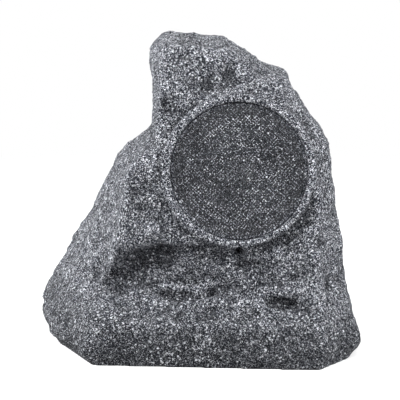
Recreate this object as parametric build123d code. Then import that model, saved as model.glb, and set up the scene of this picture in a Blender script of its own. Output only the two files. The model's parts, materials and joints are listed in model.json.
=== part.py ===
from build123d import *
from itertools import accumulate
from math import cos, radians, sin
import os

# Rock shaped garden loudspeaker, in millimetres.
# X is the picture's right, Y runs away from the viewer and Z is up.
# The origin is on the ground, under the middle of the rock.

# Clearances and sheet thicknesses shared by several pieces
SLIP = 0.3  # gap between curved faces that fit one inside the other
GASKET = 1.5
LEAD_RADIUS = 1.1
TWEETER_LEAD = 0.8
LEAD_BEND = 9.0
LEAD_RUN = 16.0  # straight length before the first bend

# Rock: eight corners, as shares of the width from the left and of the depth from the front
# Each outline places its own front corners: the ridge on the left and the cheek on the right
WALL = 6.0
CORNER_RADIUS = 10.0
HEIGHT_WANDER = 0.17  # share of the distance to the nearest outline
CROWN_TILT = 0.12
LEDGE_DROP = 0.5  # share of the wall, keeps it thick under the ledges near the top
CHEEK_SHARE = 0.90
ROCK_CORNERS = [
    (1.00, 0.17),
    (0.985, 0.72),
    (0.80, 1.00),
    (0.30, 0.97),
    (0.00, 0.80),
]
FLANK_SHARE = 0.38
# Rock outlines from the ground up: rise above the one below, left, right, front and back
ROCK_LEVELS = {
    "sole": (0, -187, 181, -147, 144),
    "toe": (20, -193, 190, -148, 148),
    "foot": (26.5, -183, 187, -143, 144),
    "waist": (40, -161, 176, -100, 136),
    "chest": (56, -125, 171, -112, 122),
    "girdle": (63, -97, 159, -99, 108),
    "shoulder": (24, -73, 159, -92, 100),
    "neck": (17, -52, 152, -88, 96),
    "brow": (58, -50, 113, -76, 84),
    "ear": (10, -52, 108, -68, 78),
    "temple": (8, -54, 84, -64, 72),
    "brim": (21, -52, 58, -56, 64),
    "crown": (12, -38, 43, -50, 56),
}
# Front corners of each outline, as shares: ridge across, ridge deep and cheek deep
FRONT_SHARES = {
    "sole": (0.20, 0.05, 0.00),
    "toe": (0.19, 0.05, 0.00),
    "foot": (0.19, 0.05, 0.00),
    "waist": (0.17, 0.11, -0.09),
    "chest": (0.14, 0.03, 0.00),
    "girdle": (0.09, 0.02, 0.00),
    "shoulder": (0.04, 0.02, 0.00),
    "neck": (0.05, 0.03, 0.00),
    "brow": (0.06, 0.05, 0.00),
    "ear": (0.09, 0.06, 0.00),
    "temple": (0.12, 0.06, 0.00),
    "brim": (0.14, 0.06, 0.00),
    "crown": (0.16, 0.06, 0.00),
}
ROCK_HEIGHTS = dict(zip(ROCK_LEVELS, accumulate(values[0] for values in ROCK_LEVELS.values())))
# Hollows worn into the front: the outline below, share of the way up to the next one, share across,
# turn from level, half length, half width and depth
HOLLOWS = {
    "valley": ("chest", 0.67, 0.10, 86, 42, 16, 5),
    "overhang": ("waist", 0.58, 0.18, 12, 40, 19, 7),
    "pit": ("foot", 0.66, 0.83, 3, 18, 9, 7),
    "dip": ("waist", 0.44, 0.71, 13, 30, 16, 4.5),
    "brow": ("ear", 0.70, 0.52, 10, 34, 16, 4.5),
    "cheekbone": ("neck", 0.80, 0.10, 60, 18, 12, 4),
}

# Foot of the shell, closed by a plate from below
PLATE_BOTTOM = 3.0
PLATE_THICK = 5.0
PLATE_TOP = PLATE_BOTTOM + PLATE_THICK
PLATE_GAP = 1.0
FLANGE_BOTTOM = PLATE_TOP + GASKET
FLANGE_THICK = 5.0
FLANGE_TOP = FLANGE_BOTTOM + FLANGE_THICK
FLANGE_WIDTH = 16.0
BASE_SCREW_RADIUS = 2.0
BASE_SCREW_BITE = 13.5  # how far a screw reaches past the flange's lower face
BASE_HEAD_RADIUS = 4.2
BASE_HEAD_HEIGHT = 2.2
BOSS_RADIUS = 5.5
SCREW_END_GAP = 1.0
BLIND_WALL = 3.0

# Grille, and the ring and recess around it on the rock's leaning front
BAFFLE_X = 53.0
BAFFLE_STAND = 1.0  # in front of the girdle outline
BAFFLE_RISE = 15.0  # above the girdle outline
BAFFLE_LEAN = 12.0
GRILLE_RADIUS = 77.8
GRILLE_SHEET = 1.2
GRILLE_DEPTH = 4.0
GRILLE_ROUND = 1.0
HOLE_PITCH = 12.8
HOLE_BAR = 4.7
RING_WIDTH = 9.9
RING_ROUND = 4.0
GROOVE_ROUND = 8.0  # worn groove along the lower right of the ring
GROOVE_BITE = 2.5  # into the ring's side
GROOVE_SINK = 5.0
GROOVE_START = -80.0
GROOVE_SWEEP = 70.0
RECESS_RADIUS = GRILLE_RADIUS + SLIP
RING_RADIUS = RECESS_RADIUS + RING_WIDTH
SEAT_DEPTH = 22.0
SEAT_THICK = 6.5
DRAIN_WIDTH = 7.0
DRAIN_LENGTH = 12.0
DRAIN_BITE = 3.0
DRAIN_DEPTH = 25.0
DRAIN_WALL = 4.5
DRAIN_HOLE = 2.2

# Woofer basket, with heights measured from the ring's face and negative inward
SHEET = 1.5
FRAME_GAP = 1.6
FRAME_LIP = 9.0
FRAME_RADIUS = GRILLE_RADIUS - GRILLE_SHEET - FRAME_GAP
OPENING_RADIUS = FRAME_RADIUS - FRAME_LIP
FRAME_BACK = GASKET - SEAT_DEPTH
FRAME_FRONT = FRAME_BACK + SHEET
FRAME_WALL_RADIUS = OPENING_RADIUS - 1.0
FRAME_WALL_DEPTH = 9.5
BASKET_DEPTH = 32.0
SHELF_FRONT = FRAME_BACK - BASKET_DEPTH
SHELF_BACK = SHELF_FRONT - SHEET
BASKET_TAPER = 29.0
SHELF_INNER = FRAME_WALL_RADIUS - BASKET_TAPER
SHELF_WIDTH = 7.5
SHELF_OUTER = SHELF_INNER + SHELF_WIDTH
TAIL_DEPTH = 9.5
TAIL_BACK = SHELF_BACK - TAIL_DEPTH
TAIL_HOLE = 20.0
WINDOW_COUNT = 6
WINDOW_WIDTH = 38.0
WOOFER_SCREW_CIRCLE = OPENING_RADIUS + 0.53 * FRAME_LIP
WOOFER_SCREW_RADIUS = 1.6
WOOFER_SCREW_BITE = 4.2

# Woofer surround, cone, coil and spider
RUBBER = 1.0
ROLL_GAP = 4.0
ROLL_WIDTH = 8.0
ROLL_OUTER = FRAME_WALL_RADIUS - ROLL_GAP
ROLL_INNER = ROLL_OUTER - ROLL_WIDTH
CONE_SHEET = 0.8
CONE_RIM = 4.0
CONE_RIM_INNER = ROLL_INNER - CONE_RIM
CONE_DEPTH = 27.0
NECK_LENGTH = 4.0
NECK_TOP = FRAME_FRONT - CONE_DEPTH
NECK_BOTTOM = NECK_TOP - NECK_LENGTH
FORMER_INNER = 12.6
FORMER_SHEET = 0.3
FORMER_OUTER = FORMER_INNER + FORMER_SHEET
NECK_INNER = FORMER_OUTER + SLIP
COIL_GAP = 0.1
COIL_THICK = 0.5
COIL_INNER = FORMER_OUTER + COIL_GAP
COIL_OUTER = COIL_INNER + COIL_THICK
COIL_OVERHANG = 2.0
SPIDER_SHEET = 0.5
SPIDER_WAVES = 3
SPIDER_SWING = 0.39  # share of half a wave
SPIDER_COLLAR = 4.0

# Woofer motor and terminals
MOTOR_GAP = 0.5
TOP_PLATE_THICK = 6.0
MAGNET_THICK = 15.0
YOKE_THICK = 6.0
MOTOR_RADIUS = 40.0
MAGNET_OVERHANG = 2.0
MAGNET_BORE = 22.0
TOP_PLATE_BACK = TAIL_BACK - TOP_PLATE_THICK
MAGNET_BACK = TOP_PLATE_BACK - MAGNET_THICK
YOKE_BACK = MAGNET_BACK - YOKE_THICK
POLE_RADIUS = FORMER_INNER - MOTOR_GAP
POLE_TOP = TAIL_BACK + 0.5
POLE_BORE = 5.0
STRIP_SIZE = (22, 6, 2)
LUG_SIZE = (4, 14, 0.8)
LUG_SPACING = 11.0

# Tweeter on a post at the woofer's middle
POST_RADIUS = 4.5
POST_BORE = 2.6
POST_FLANGE = 2.0
POST_COLLAR = 3.5
POST_FOOT = 5.5
POST_SPIGOT = 12.0
TWEETER_RADIUS = 19.0
TWEETER_WALL = 2.0
TWEETER_LENGTH = 24.0
TWEETER_FLOOR_THICK = 3.0
TWEETER_CLEAR = 6.8  # from the grille's inner face
TWEETER_FRONT = -GRILLE_DEPTH - GRILLE_SHEET - TWEETER_CLEAR
TWEETER_BACK = TWEETER_FRONT - TWEETER_LENGTH
TWEETER_FLOOR = TWEETER_BACK + TWEETER_FLOOR_THICK
POT_HEIGHT = 12.0
POT_WALL = 2.4
DOME_EDGE = 11.8
DOME_RISE = 5.0
DOME_RADIUS = (DOME_EDGE**2 + DOME_RISE**2) / (2 * DOME_RISE)
DOME_SHEET = 0.4
DOME_COIL = 0.6
DOME_COIL_DEPTH = 5.0
DOME_GAP = 0.8
DOME_FLANGE = TWEETER_RADIUS - TWEETER_WALL - 2 * SLIP
POT_INNER = DOME_EDGE + DOME_GAP
POT_RADIUS = POT_INNER + POT_WALL
POT_FRONT = TWEETER_FLOOR + POT_HEIGHT
POT_FLOOR = TWEETER_FLOOR + POT_WALL
DISC_RADIUS = DOME_EDGE - DOME_COIL - DOME_GAP
DISC_THICK = 4.0
HORN_MOUTH = 17.5
HORN_THROAT = DOME_EDGE + 1.4
FACE_THICK = 2.0

# Crossover on the base plate
BOARD_CENTRE = (-61, 30)
BOARD_SIZE = (84, 58)
BOARD_THICK = 1.6
BOARD_POST = 10.0
BOARD_POST_RADIUS = 4.5
BOARD_BOTTOM = PLATE_TOP + BOARD_POST
BOARD_TOP = BOARD_BOTTOM + BOARD_THICK
BOARD_HOLE_INSET = 5.0
BOARD_SCREW_RADIUS = 1.3
BOARD_SCREW_BITE = 7.4
BOBBIN_RADIUS = 13.0
BOBBIN_HEIGHT = 18.0
BOBBIN_CORE = 6.5
BOBBIN_WALL = 1.5
BOBBIN_EDGE = (20, 18)  # from the board's left and back edges
CAN_RADIUS = 7.5
CAN_HEIGHT = 22.0
RESISTOR_SIZE = (26, 9, 9)
RESISTOR_EDGE = (24, 13)  # from the board's left and front edges
POLE_COUNT = 6
POLE_PITCH = 6.4
BLOCK_EDGE = 4.0
BLOCK_DEPTH = 10.0
BLOCK_HEIGHT = 11.0
BLOCK_FACE = BOARD_CENTRE[0] + BOARD_SIZE[0] / 2 - BLOCK_EDGE

# Input terminals in a pocket at the back
POCKET_X = 60.0
POCKET_Z = 62.0
POCKET_FLOOR = 110.0
POCKET_RADIUS = 27.0
POCKET_FLOOR_THICK = 8.0
POCKET_BOSS = 18.0
PLATE_SEAL = 1.0
TERMINAL_PLATE = 3.0
TERMINAL_RADIUS = POCKET_RADIUS - 1.0
TERMINAL_OPENING = 16.0
TERMINAL_SCREW_CIRCLE = (TERMINAL_OPENING + TERMINAL_RADIUS) / 2
TERMINAL_SCREW_RADIUS = 1.4
TERMINAL_SCREW_BITE = 5.5
POST_SPACING = 19.0
STUD_RADIUS = 3.0
STUD_COLLAR = 6.0
STUD_COLLAR_THICK = 2.0
STUD_TAIL = 15.0
NUT_RADIUS = 5.6
NUT_THICK = 4.0
PLUG_BORE = 2.05
PLUG_DEPTH = 17.0
CAP_RADIUS = 7.6
CAP_LENGTH = 15.0
FLUTE_COUNT = 10
FLUTE_RADIUS = 1.3

baffle = Plane(
    origin=(BAFFLE_X, ROCK_LEVELS["girdle"][3] - BAFFLE_STAND, ROCK_HEIGHTS["girdle"] + BAFFLE_RISE),
    x_dir=(1, 0, 0),
    z_dir=(0, -cos(radians(BAFFLE_LEAN)), sin(radians(BAFFLE_LEAN))),
)
back_panel = Plane(origin=(POCKET_X, POCKET_FLOOR, POCKET_Z), x_dir=(-1, 0, 0), z_dir=(0, 1, 0))


def drum(radius, low, high):
    return Pos(0, 0, (low + high) / 2) * Cylinder(radius, high - low)


def tube(inner, outer, low, high):
    return drum(outer, low, high) - drum(inner, low, high)


def turned(*section):
    points = [(radius, 0, height) for radius, height in section]
    return revolve(make_face(Polyline(*points, close=True)), Axis.Z)


def around(count, radius, start=0.0):
    return [Rot(0, 0, start + 360 * k / count) * Pos(radius, 0, 0) for k in range(count)]


def group(pieces):
    return Compound(children=[piece.solid() for piece in pieces])


def slab(x, y, low, high, width, depth):
    return Pos(x, y, (low + high) / 2) * Box(width, depth, high - low)


def cross_screw(shank, tip, head_radius, head_height):
    # Pan head above the seat at zero, pointed shank below it, cross slot in the head.
    screw = turned(
        (0, head_height),
        (head_radius - 0.6, head_height),
        (head_radius, head_height - 0.7),
        (head_radius, 0),
        (shank, 0),
        (shank, 1.2 * shank - tip),
        (0, -tip),
    )
    slot = slab(0, 0, 0.35 * head_height, head_height + 1, 1.2 * head_radius, 0.3 * head_radius)
    return screw - slot - Rot(0, 0, 90) * slot


def corner_shares(level):
    across, deep, cheek = FRONT_SHARES[level]
    flank = (FLANK_SHARE * across, 0.36)
    return [(across, deep), (CHEEK_SHARE, cheek)] + ROCK_CORNERS + [flank]


def rock_corners(level, inset=0.0, drop=0.0):
    left, right, front, back = ROCK_LEVELS[level][1:]
    left, right, front, back = left + inset, right - inset, front + inset, back - inset
    height = ROCK_HEIGHTS[level]
    rank = list(ROCK_HEIGHTS).index(level) - 1
    nearest = min(abs(height - other) for name, other in ROCK_HEIGHTS.items() if name != level)
    points = []
    for k, (across, deep) in enumerate(corner_shares(level)):
        x = left + across * (right - left)
        lift = HEIGHT_WANDER * nearest * sin(2.3 * k + 1.7 * rank)
        if level == "sole":
            lift = 0
        if level == "crown":
            lift = -CROWN_TILT * x - drop
        elif height > ROCK_HEIGHTS["neck"]:
            lift -= LEDGE_DROP * drop
        points.append((x, front + deep * (back - front), height + lift))
    return points


def rock_outline(level, inset=0.0, drop=0.0):
    return FilletPolyline(*rock_corners(level, inset, drop), radius=CORNER_RADIUS, close=True)


def rock_solid(inset=0.0):
    outlines = [rock_outline(level, inset, inset) for level in ROCK_LEVELS]
    return Solid.make_loft(outlines, True)


def front_point(level, rise, across):
    # On the front face between an outline's ridge and cheek and those of the next one up.
    levels = list(ROCK_LEVELS)
    above = levels[levels.index(level) + 1]
    pairs = list(zip(rock_corners(level), rock_corners(above)))
    ridge, cheek = [Vector(low) * (1 - rise) + Vector(high) * rise for low, high in pairs[:2]]
    return ridge * (1 - across) + cheek * across


def worn(level, rise, across, turn, length, width, depth, extra=0.0):
    # Spindle that leaves a hollow where it sinks into the front face.
    over = front_point(level, rise, across + 0.02) - front_point(level, rise, across - 0.02)
    up = front_point(level, rise + 0.02, across) - front_point(level, rise - 0.02, across)
    face = Plane(origin=front_point(level, rise, across), x_dir=over, z_dir=over.cross(up))
    thick = (width**2 + depth**2) / (2 * depth)
    long = (length**2 + depth**2) / (2 * depth) + extra
    lift = thick - depth
    thick += extra
    tip = (2 * long * thick - thick**2) ** 0.5
    profile = make_face([ThreePointArc((-tip, 0), (0, thick), (tip, 0)), Line((tip, 0), (-tip, 0))])
    return face * Rot(0, 0, turn) * Pos(0, 0, lift) * revolve(profile, Axis.X)


def ring_groove(extra=0.0):
    # Part of a torus beside the ring, which runs out over the rock's right edge.
    middle = Pos(RING_RADIUS + GROOVE_ROUND - GROOVE_BITE, 0, -GROOVE_SINK)
    section = middle * Rot(90, 0, 0) * Circle(GROOVE_ROUND + extra)
    groove = revolve(section, Axis.Z, revolution_arc=GROOVE_SWEEP)
    return baffle * Rot(0, 0, GROOVE_START) * groove


def foot_slab(inset, low, high):
    return Pos(0, 0, low) * extrude(make_face(rock_outline("sole", inset)), amount=high - low, dir=(0, 0, 1))


def foot_screw_spots():
    left, right, front, back = ROCK_LEVELS["sole"][1:]
    inset = WALL + PLATE_GAP + FLANGE_WIDTH / 2
    left, right, front, back = left + inset, right - inset, front + inset, back - inset
    spots = []
    corners = corner_shares("sole")
    for k, (across, deep) in enumerate(corners):
        next_across, next_deep = corners[(k + 1) % len(corners)]
        x = left + (across + next_across) / 2 * (right - left)
        spots.append((x, front + (deep + next_deep) / 2 * (back - front)))
    return spots


screw_spots = foot_screw_spots()
base_screw_tip = FLANGE_BOTTOM + BASE_SCREW_BITE
woofer_screw_turns = around(4, WOOFER_SCREW_CIRCLE, 45)
terminal_screw_turns = around(4, TERMINAL_SCREW_CIRCLE, 45)

# Rock shell: hollow loft with a foot flange
far = 4 * SEAT_DEPTH
rock = rock_solid()
hollow = rock_solid(WALL) - slab(0, 0, -1, FLANGE_TOP, 500, 500)
rebate = foot_slab(WALL, -1, FLANGE_BOTTOM)
throat = foot_slab(WALL + FLANGE_WIDTH, -1, FLANGE_TOP + 1)
front_flat = baffle * drum(RING_RADIUS + 2, 0, far)
shell = rock - [hollow, rebate, throat, front_flat]

# Worn hollows, with the wall kept behind them
shell += [worn(*spot, extra=WALL) & rock for spot in HOLLOWS.values()]
shell += (ring_groove(WALL) & rock) - front_flat
shell -= [worn(*spot) for spot in HOLLOWS.values()]

# Screw bosses, speaker cup, backing of the drain slot and terminal pocket
cup_back = -SEAT_DEPTH - SEAT_THICK
cup = drum(RING_RADIUS, cup_back, 0)
cup = fillet(cup.edges().group_by(Axis.Z)[-1], RING_ROUND)
drain_middle = RING_RADIUS - DRAIN_BITE + DRAIN_LENGTH / 2
drain_backing = drum(DRAIN_LENGTH / 2 + DRAIN_BITE, -DRAIN_DEPTH - DRAIN_WALL, -DRAIN_DEPTH + DRAIN_WALL)
shell += [Pos(x, y, 0) * drum(BOSS_RADIUS, FLANGE_TOP - 1, base_screw_tip + BLIND_WALL) for x, y in screw_spots]
shell += [baffle * cup, baffle * Pos(0, -drain_middle, 0) * drain_backing]
shell += back_panel * drum(POCKET_RADIUS + WALL, -POCKET_FLOOR_THICK, POCKET_BOSS)

# Recess, driver opening, drain, pocket and screw holes
drain_slot = extrude(SlotOverall(DRAIN_LENGTH, DRAIN_WIDTH, rotation=90), amount=far)
drain_bore = Rot(90, 0, 0) * drum(DRAIN_HOLE, RECESS_RADIUS - 1, drain_middle)
shell -= [
    ring_groove(),
    baffle * drum(RECESS_RADIUS, -SEAT_DEPTH, far),
    baffle * drum(OPENING_RADIUS, cup_back - 2 * WALL, 1 - SEAT_DEPTH),
    baffle * Pos(0, -drain_middle, -DRAIN_DEPTH) * drain_slot,
    baffle * Pos(0, 0, 1.2 * DRAIN_HOLE - SEAT_DEPTH) * drain_bore,
    back_panel * drum(POCKET_RADIUS, 0, far),
    back_panel * drum(TERMINAL_OPENING, -POCKET_FLOOR_THICK - 1, 1),
]
shell -= [
    Pos(x, y, 0) * drum(BASE_SCREW_RADIUS + SLIP, 0, base_screw_tip + SCREW_END_GAP) for x, y in screw_spots
]
woofer_pilot = drum(WOOFER_SCREW_RADIUS + SLIP, -SEAT_DEPTH - WOOFER_SCREW_BITE - SCREW_END_GAP, 1 - SEAT_DEPTH)
shell -= [baffle * turn * woofer_pilot for turn in woofer_screw_turns]
terminal_pilot = drum(TERMINAL_SCREW_RADIUS + SLIP, -TERMINAL_SCREW_BITE - SCREW_END_GAP, 1)
shell -= [back_panel * turn * terminal_pilot for turn in terminal_screw_turns]

# Base: plate with board posts, seal and screws from below
board_x, board_y = BOARD_CENTRE
hole_x = BOARD_SIZE[0] / 2 - BOARD_HOLE_INSET
hole_y = BOARD_SIZE[1] / 2 - BOARD_HOLE_INSET
board_holes = [(board_x + side * hole_x, board_y + end * hole_y) for side in (-1, 1) for end in (-1, 1)]
base_plate = foot_slab(WALL + PLATE_GAP, PLATE_BOTTOM, PLATE_TOP)
base_gasket = foot_slab(WALL + PLATE_GAP, PLATE_TOP, FLANGE_BOTTOM)
base_gasket -= foot_slab(WALL + FLANGE_WIDTH, PLATE_TOP - 1, FLANGE_BOTTOM + 1)
base_holes = [Pos(x, y, 0) * drum(BASE_SCREW_RADIUS + SLIP, 0, FLANGE_TOP) for x, y in screw_spots]
base_gasket -= base_holes
base_plate -= base_holes
base_plate += [Pos(x, y, 0) * drum(BOARD_POST_RADIUS, PLATE_TOP - 1, BOARD_BOTTOM) for x, y in board_holes]
board_pilot = drum(BOARD_SCREW_RADIUS + SLIP, BOARD_BOTTOM - BOARD_SCREW_BITE - SCREW_END_GAP, BOARD_BOTTOM + 1)
base_plate -= [Pos(x, y, 0) * board_pilot for x, y in board_holes]
base_screw = Rot(180, 0, 0) * cross_screw(
    BASE_SCREW_RADIUS, base_screw_tip - PLATE_BOTTOM, BASE_HEAD_RADIUS, BASE_HEAD_HEIGHT
)
base_screws = group([Pos(x, y, PLATE_BOTTOM) * base_screw for x, y in screw_spots])

# Grille: perforated disc with a skirt that stands on the seat
grille = drum(GRILLE_RADIUS, -SEAT_DEPTH, -GRILLE_DEPTH)
grille = fillet(grille.edges().group_by(Axis.Z)[-1], GRILLE_ROUND)
grille -= drum(GRILLE_RADIUS - GRILLE_SHEET, -SEAT_DEPTH - 1, -GRILLE_DEPTH - GRILLE_SHEET)
hole_radius = (HOLE_PITCH - HOLE_BAR) / 3**0.5
hole_rows = 2 * int(GRILLE_RADIUS / HOLE_PITCH) + 3
hole_reach = GRILLE_RADIUS - GRILLE_SHEET - HOLE_BAR / 2 - hole_radius
grille_spots = [spot for spot in HexLocations(HOLE_PITCH / 3**0.5, hole_rows, hole_rows)]
grille_hole = Pos(0, 0, -GRILLE_DEPTH - 2 * GRILLE_SHEET) * extrude(RegularPolygon(hole_radius, 6), amount=far)
grille -= [spot * grille_hole for spot in grille_spots if spot.position.length < hole_reach]
grille -= slab(0, -GRILLE_RADIUS, -SEAT_DEPTH - 1, -SEAT_DEPTH + 4 * DRAIN_HOLE, DRAIN_WIDTH, 4 * GRILLE_SHEET)

# Woofer basket with windows in its flank, on a gasket
woofer_gasket = tube(OPENING_RADIUS + 0.5, FRAME_RADIUS, -SEAT_DEPTH, FRAME_BACK)
wall_back = FRAME_BACK - FRAME_WALL_DEPTH
flank_lean = SHEET * 0.4
woofer_basket = turned(
    (FRAME_RADIUS, FRAME_FRONT),
    (FRAME_WALL_RADIUS - SHEET, FRAME_FRONT),
    (FRAME_WALL_RADIUS - SHEET, wall_back + flank_lean),
    (SHELF_OUTER, SHELF_FRONT),
    (SHELF_INNER, SHELF_FRONT),
    (SHELF_INNER, TAIL_BACK + SHEET),
    (TAIL_HOLE, TAIL_BACK + SHEET),
    (TAIL_HOLE, TAIL_BACK),
    (SHELF_INNER + SHEET, TAIL_BACK),
    (SHELF_INNER + SHEET, SHELF_BACK),
    (SHELF_OUTER + flank_lean, SHELF_BACK),
    (FRAME_WALL_RADIUS, wall_back),
    (FRAME_WALL_RADIUS, FRAME_BACK),
    (FRAME_RADIUS, FRAME_BACK),
)
window_reach = FRAME_WALL_RADIUS - SHELF_OUTER
window = slab(0, 0, SHELF_FRONT + 2.5, wall_back - 2, 2 * window_reach, WINDOW_WIDTH)
woofer_basket -= [turn * window for turn in around(WINDOW_COUNT, FRAME_WALL_RADIUS)]
woofer_holes = [
    turn * drum(WOOFER_SCREW_RADIUS + SLIP, -SEAT_DEPTH - 1, FRAME_FRONT + 1) for turn in woofer_screw_turns
]
woofer_gasket -= woofer_holes
woofer_basket -= woofer_holes
woofer_screw = cross_screw(WOOFER_SCREW_RADIUS, SHEET + GASKET + WOOFER_SCREW_BITE, 2 * WOOFER_SCREW_RADIUS, 2.0)
woofer_screws = group([turn * Pos(0, 0, FRAME_FRONT) * woofer_screw for turn in woofer_screw_turns])

# Surround: flat lips and a half roll, glued to the basket's face and the cone's rim
roll_middle = (ROLL_INNER + ROLL_OUTER) / 2
roll_radius = (ROLL_WIDTH - RUBBER) / 2
roll_reach = ((roll_radius + RUBBER) ** 2 - RUBBER**2) ** 0.5
lip_top = FRAME_FRONT + RUBBER
lip_inner = CONE_RIM_INNER + 0.5
lip_outer = FRAME_WALL_RADIUS + 1.5
surround_section = Polyline(
    (roll_middle - roll_reach, 0, lip_top),
    (lip_inner, 0, lip_top),
    (lip_inner, 0, FRAME_FRONT),
    (roll_middle - roll_radius, 0, FRAME_FRONT),
)
surround_section += ThreePointArc(
    (roll_middle - roll_radius, 0, FRAME_FRONT),
    (roll_middle, 0, FRAME_FRONT + roll_radius),
    (roll_middle + roll_radius, 0, FRAME_FRONT),
)
surround_section += Polyline(
    (roll_middle + roll_radius, 0, FRAME_FRONT),
    (lip_outer, 0, FRAME_FRONT),
    (lip_outer, 0, lip_top),
    (roll_middle + roll_reach, 0, lip_top),
)
surround_section += ThreePointArc(
    (roll_middle + roll_reach, 0, lip_top),
    (roll_middle, 0, lip_top + roll_radius),
    (roll_middle - roll_reach, 0, lip_top),
)
woofer_surround = revolve(make_face(surround_section), Axis.Z)

# Cone, former and coil, which move as one
woofer_cone = turned(
    (ROLL_INNER, FRAME_FRONT),
    (CONE_RIM_INNER, FRAME_FRONT),
    (NECK_INNER, NECK_TOP),
    (NECK_INNER, NECK_BOTTOM),
    (NECK_INNER + CONE_SHEET, NECK_BOTTOM),
    (NECK_INNER + CONE_SHEET, NECK_TOP - CONE_SHEET / 2),
    (CONE_RIM_INNER + CONE_SHEET / 2, FRAME_FRONT - CONE_SHEET),
    (ROLL_INNER, FRAME_FRONT - CONE_SHEET),
)
coil_top = TAIL_BACK + COIL_OVERHANG
coil_bottom = TOP_PLATE_BACK - COIL_OVERHANG
coil_former = tube(FORMER_INNER, FORMER_OUTER, coil_bottom - 0.5, NECK_TOP + 2)
voice_coil = tube(COIL_INNER, COIL_OUTER, coil_bottom, coil_top)

# Spider: flat rims and round waves between the former and the basket's shelf
wave_start = NECK_INNER + SPIDER_COLLAR
wave_end = SHELF_INNER - SPIDER_SHEET
half_wave = (wave_end - wave_start) / (2 * SPIDER_WAVES)
spider_rim = SHELF_OUTER - 2
spider_top = SHELF_FRONT + SPIDER_SHEET


def spider_line(height):
    line = Line((NECK_INNER, 0, height), (wave_start, 0, height))
    for k in range(2 * SPIDER_WAVES):
        start = wave_start + k * half_wave
        swing = half_wave * (SPIDER_SWING if k % 2 == 0 else -SPIDER_SWING)
        crest = (start + half_wave / 2, 0, height + swing)
        line += ThreePointArc((start, 0, height), crest, (start + half_wave, 0, height))
    return line + Line((wave_end, 0, height), (spider_rim, 0, height))


spider_ends = Line((NECK_INNER, 0, spider_top), (NECK_INNER, 0, SHELF_FRONT))
spider_ends += Line((spider_rim, 0, spider_top), (spider_rim, 0, SHELF_FRONT))
spider = revolve(make_face(spider_line(spider_top) + spider_line(SHELF_FRONT) + spider_ends), Axis.Z)

# Motor: top plate, ring magnet and yoke with its pole
top_plate = tube(COIL_OUTER + MOTOR_GAP, MOTOR_RADIUS, TOP_PLATE_BACK, TAIL_BACK)
magnet = tube(MAGNET_BORE, MOTOR_RADIUS + MAGNET_OVERHANG, MAGNET_BACK, TOP_PLATE_BACK)
pole_yoke = turned(
    (POLE_BORE, POLE_TOP),
    (POLE_RADIUS, POLE_TOP),
    (POLE_RADIUS, MAGNET_BACK),
    (MOTOR_RADIUS, MAGNET_BACK),
    (MOTOR_RADIUS, YOKE_BACK),
    (POLE_BORE, YOKE_BACK),
)
strip_back = SHELF_BACK - STRIP_SIZE[2]
lug_back = strip_back - LUG_SIZE[2]
strip_y = -SHELF_OUTER + STRIP_SIZE[1] / 2 - 0.5
lug_y = strip_y + STRIP_SIZE[1] / 2 - LUG_SIZE[1] / 2
terminal_strip = slab(0, strip_y, strip_back, SHELF_BACK, *STRIP_SIZE[:2])
terminal_lugs = group([slab(side * LUG_SPACING / 2, lug_y, lug_back, strip_back, *LUG_SIZE[:2]) for side in (-1, 1)])

# Tweeter: post on the pole, housing, pot, magnet, pole disc, dome and front ring
tweeter_post = turned(
    (POST_BORE, TWEETER_FLOOR),
    (POST_RADIUS, TWEETER_FLOOR),
    (POST_RADIUS, TWEETER_BACK),
    (POST_RADIUS + POST_COLLAR, TWEETER_BACK),
    (POST_RADIUS + POST_COLLAR, TWEETER_BACK - POST_FLANGE),
    (POST_RADIUS, TWEETER_BACK - POST_FLANGE),
    (POST_RADIUS, POLE_TOP + POST_FLANGE),
    (POLE_BORE + POST_FOOT, POLE_TOP + POST_FLANGE),
    (POLE_BORE + POST_FOOT, POLE_TOP),
    (POLE_BORE - SLIP, POLE_TOP),
    (POLE_BORE - SLIP, POLE_TOP - POST_SPIGOT),
    (POST_BORE, POLE_TOP - POST_SPIGOT),
)
tweeter_inner = TWEETER_RADIUS - TWEETER_WALL
tweeter_housing = turned(
    (POST_RADIUS + SLIP, TWEETER_BACK),
    (TWEETER_RADIUS - TWEETER_FLOOR_THICK, TWEETER_BACK),
    (TWEETER_RADIUS, TWEETER_FLOOR),
    (TWEETER_RADIUS, TWEETER_FRONT),
    (tweeter_inner, TWEETER_FRONT),
    (tweeter_inner, TWEETER_FLOOR),
    (POST_RADIUS + SLIP, TWEETER_FLOOR),
)
disc_back = POT_FRONT - SHEET / 3 - DISC_THICK
tweeter_pot = drum(POT_RADIUS, TWEETER_FLOOR, POT_FRONT) - drum(POT_INNER, POT_FLOOR, POT_FRONT + 1)
tweeter_magnet = drum(DISC_RADIUS - 1, POT_FLOOR, disc_back)
tweeter_pole = drum(DISC_RADIUS, disc_back, disc_back + DISC_THICK)
dome_seat = POT_FRONT + DOME_SHEET
dome_middle = Pos(0, 0, dome_seat + DOME_RISE - DOME_RADIUS)
tweeter_dome = dome_middle * (Sphere(DOME_RADIUS) - Sphere(DOME_RADIUS - DOME_SHEET))
tweeter_dome &= drum(DOME_EDGE, POT_FRONT, dome_seat + DOME_RISE + 1)
tweeter_dome += tube(DOME_EDGE - DOME_COIL, DOME_FLANGE, POT_FRONT, dome_seat)
tweeter_dome += tube(DOME_EDGE - DOME_COIL, DOME_EDGE, POT_FRONT - DOME_COIL_DEPTH, dome_seat)
tweeter_faceplate = turned(
    (TWEETER_RADIUS, TWEETER_FRONT),
    (TWEETER_RADIUS, TWEETER_FRONT + FACE_THICK),
    (HORN_MOUTH, TWEETER_FRONT + FACE_THICK),
    (HORN_THROAT, dome_seat),
    (tweeter_inner - SLIP, dome_seat),
    (tweeter_inner - SLIP, TWEETER_FRONT),
)

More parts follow.
